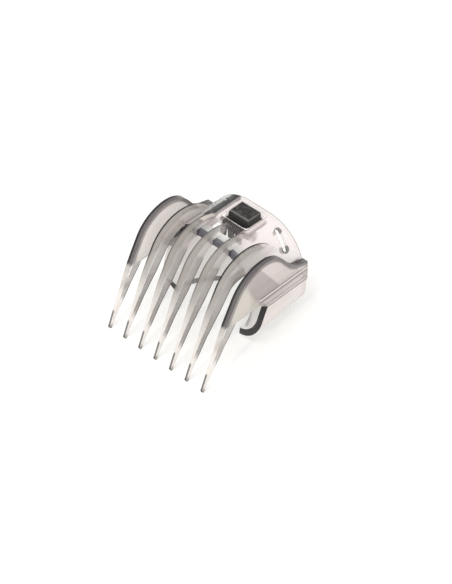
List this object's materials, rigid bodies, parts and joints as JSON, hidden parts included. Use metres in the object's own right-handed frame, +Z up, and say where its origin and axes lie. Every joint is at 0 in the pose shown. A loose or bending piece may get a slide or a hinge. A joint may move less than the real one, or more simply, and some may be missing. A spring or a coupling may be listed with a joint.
{
  "type": "clipper guard comb",
  "caption": "Clear hair clipper guard comb with curved teeth on an arched shell, side cheeks, guide rails, hooked skirts and a black sprung push-button latch.",
  "frame": {"origin": "middle of the comb's box, on the surface that its tooth tips and soles stand on", "axes": "+X to the right across the teeth, +Y to the rear where the clipper head slides in, +Z up"},
  "size_m": [0.0464, 0.0544, 0.0354],
  "materials": {
    "clear": "smooth translucent moulded plastic",
    "black": "satin moulded plastic",
    "steel": "drawn spring wire"
  },
  "bodies": {
    "root": {"top_plate": "clear", "left_shoulder": "clear", "right_shoulder": "clear", "left_cheek": "clear", "right_cheek": "clear", "tooth_2": "clear", "tooth_3": "clear", "tooth_4": "clear", "tooth_5": "clear", "tooth_6": "clear", "left_rail": "clear", "right_rail": "clear", "left_skirt": "clear", "right_skirt": "clear", "left_pivot_ear": "clear", "right_pivot_ear": "clear", "pivot_pin": "steel", "return_spring": "steel"},
    "latch": {"latch_lever": "black", "push_button": "black"}
  },
  "joints": [
    {"name": "button_press", "type": "hinge", "parent": "root", "child": "latch", "pos_m": [0, 0.01657, 0.02804], "axis": [-1, 0, 0], "range_deg": [0, 7], "stiffness_Nm_per_rad": 0.08, "springref_deg": -6.88, "deforming": ["return_spring"]}
  ]
}
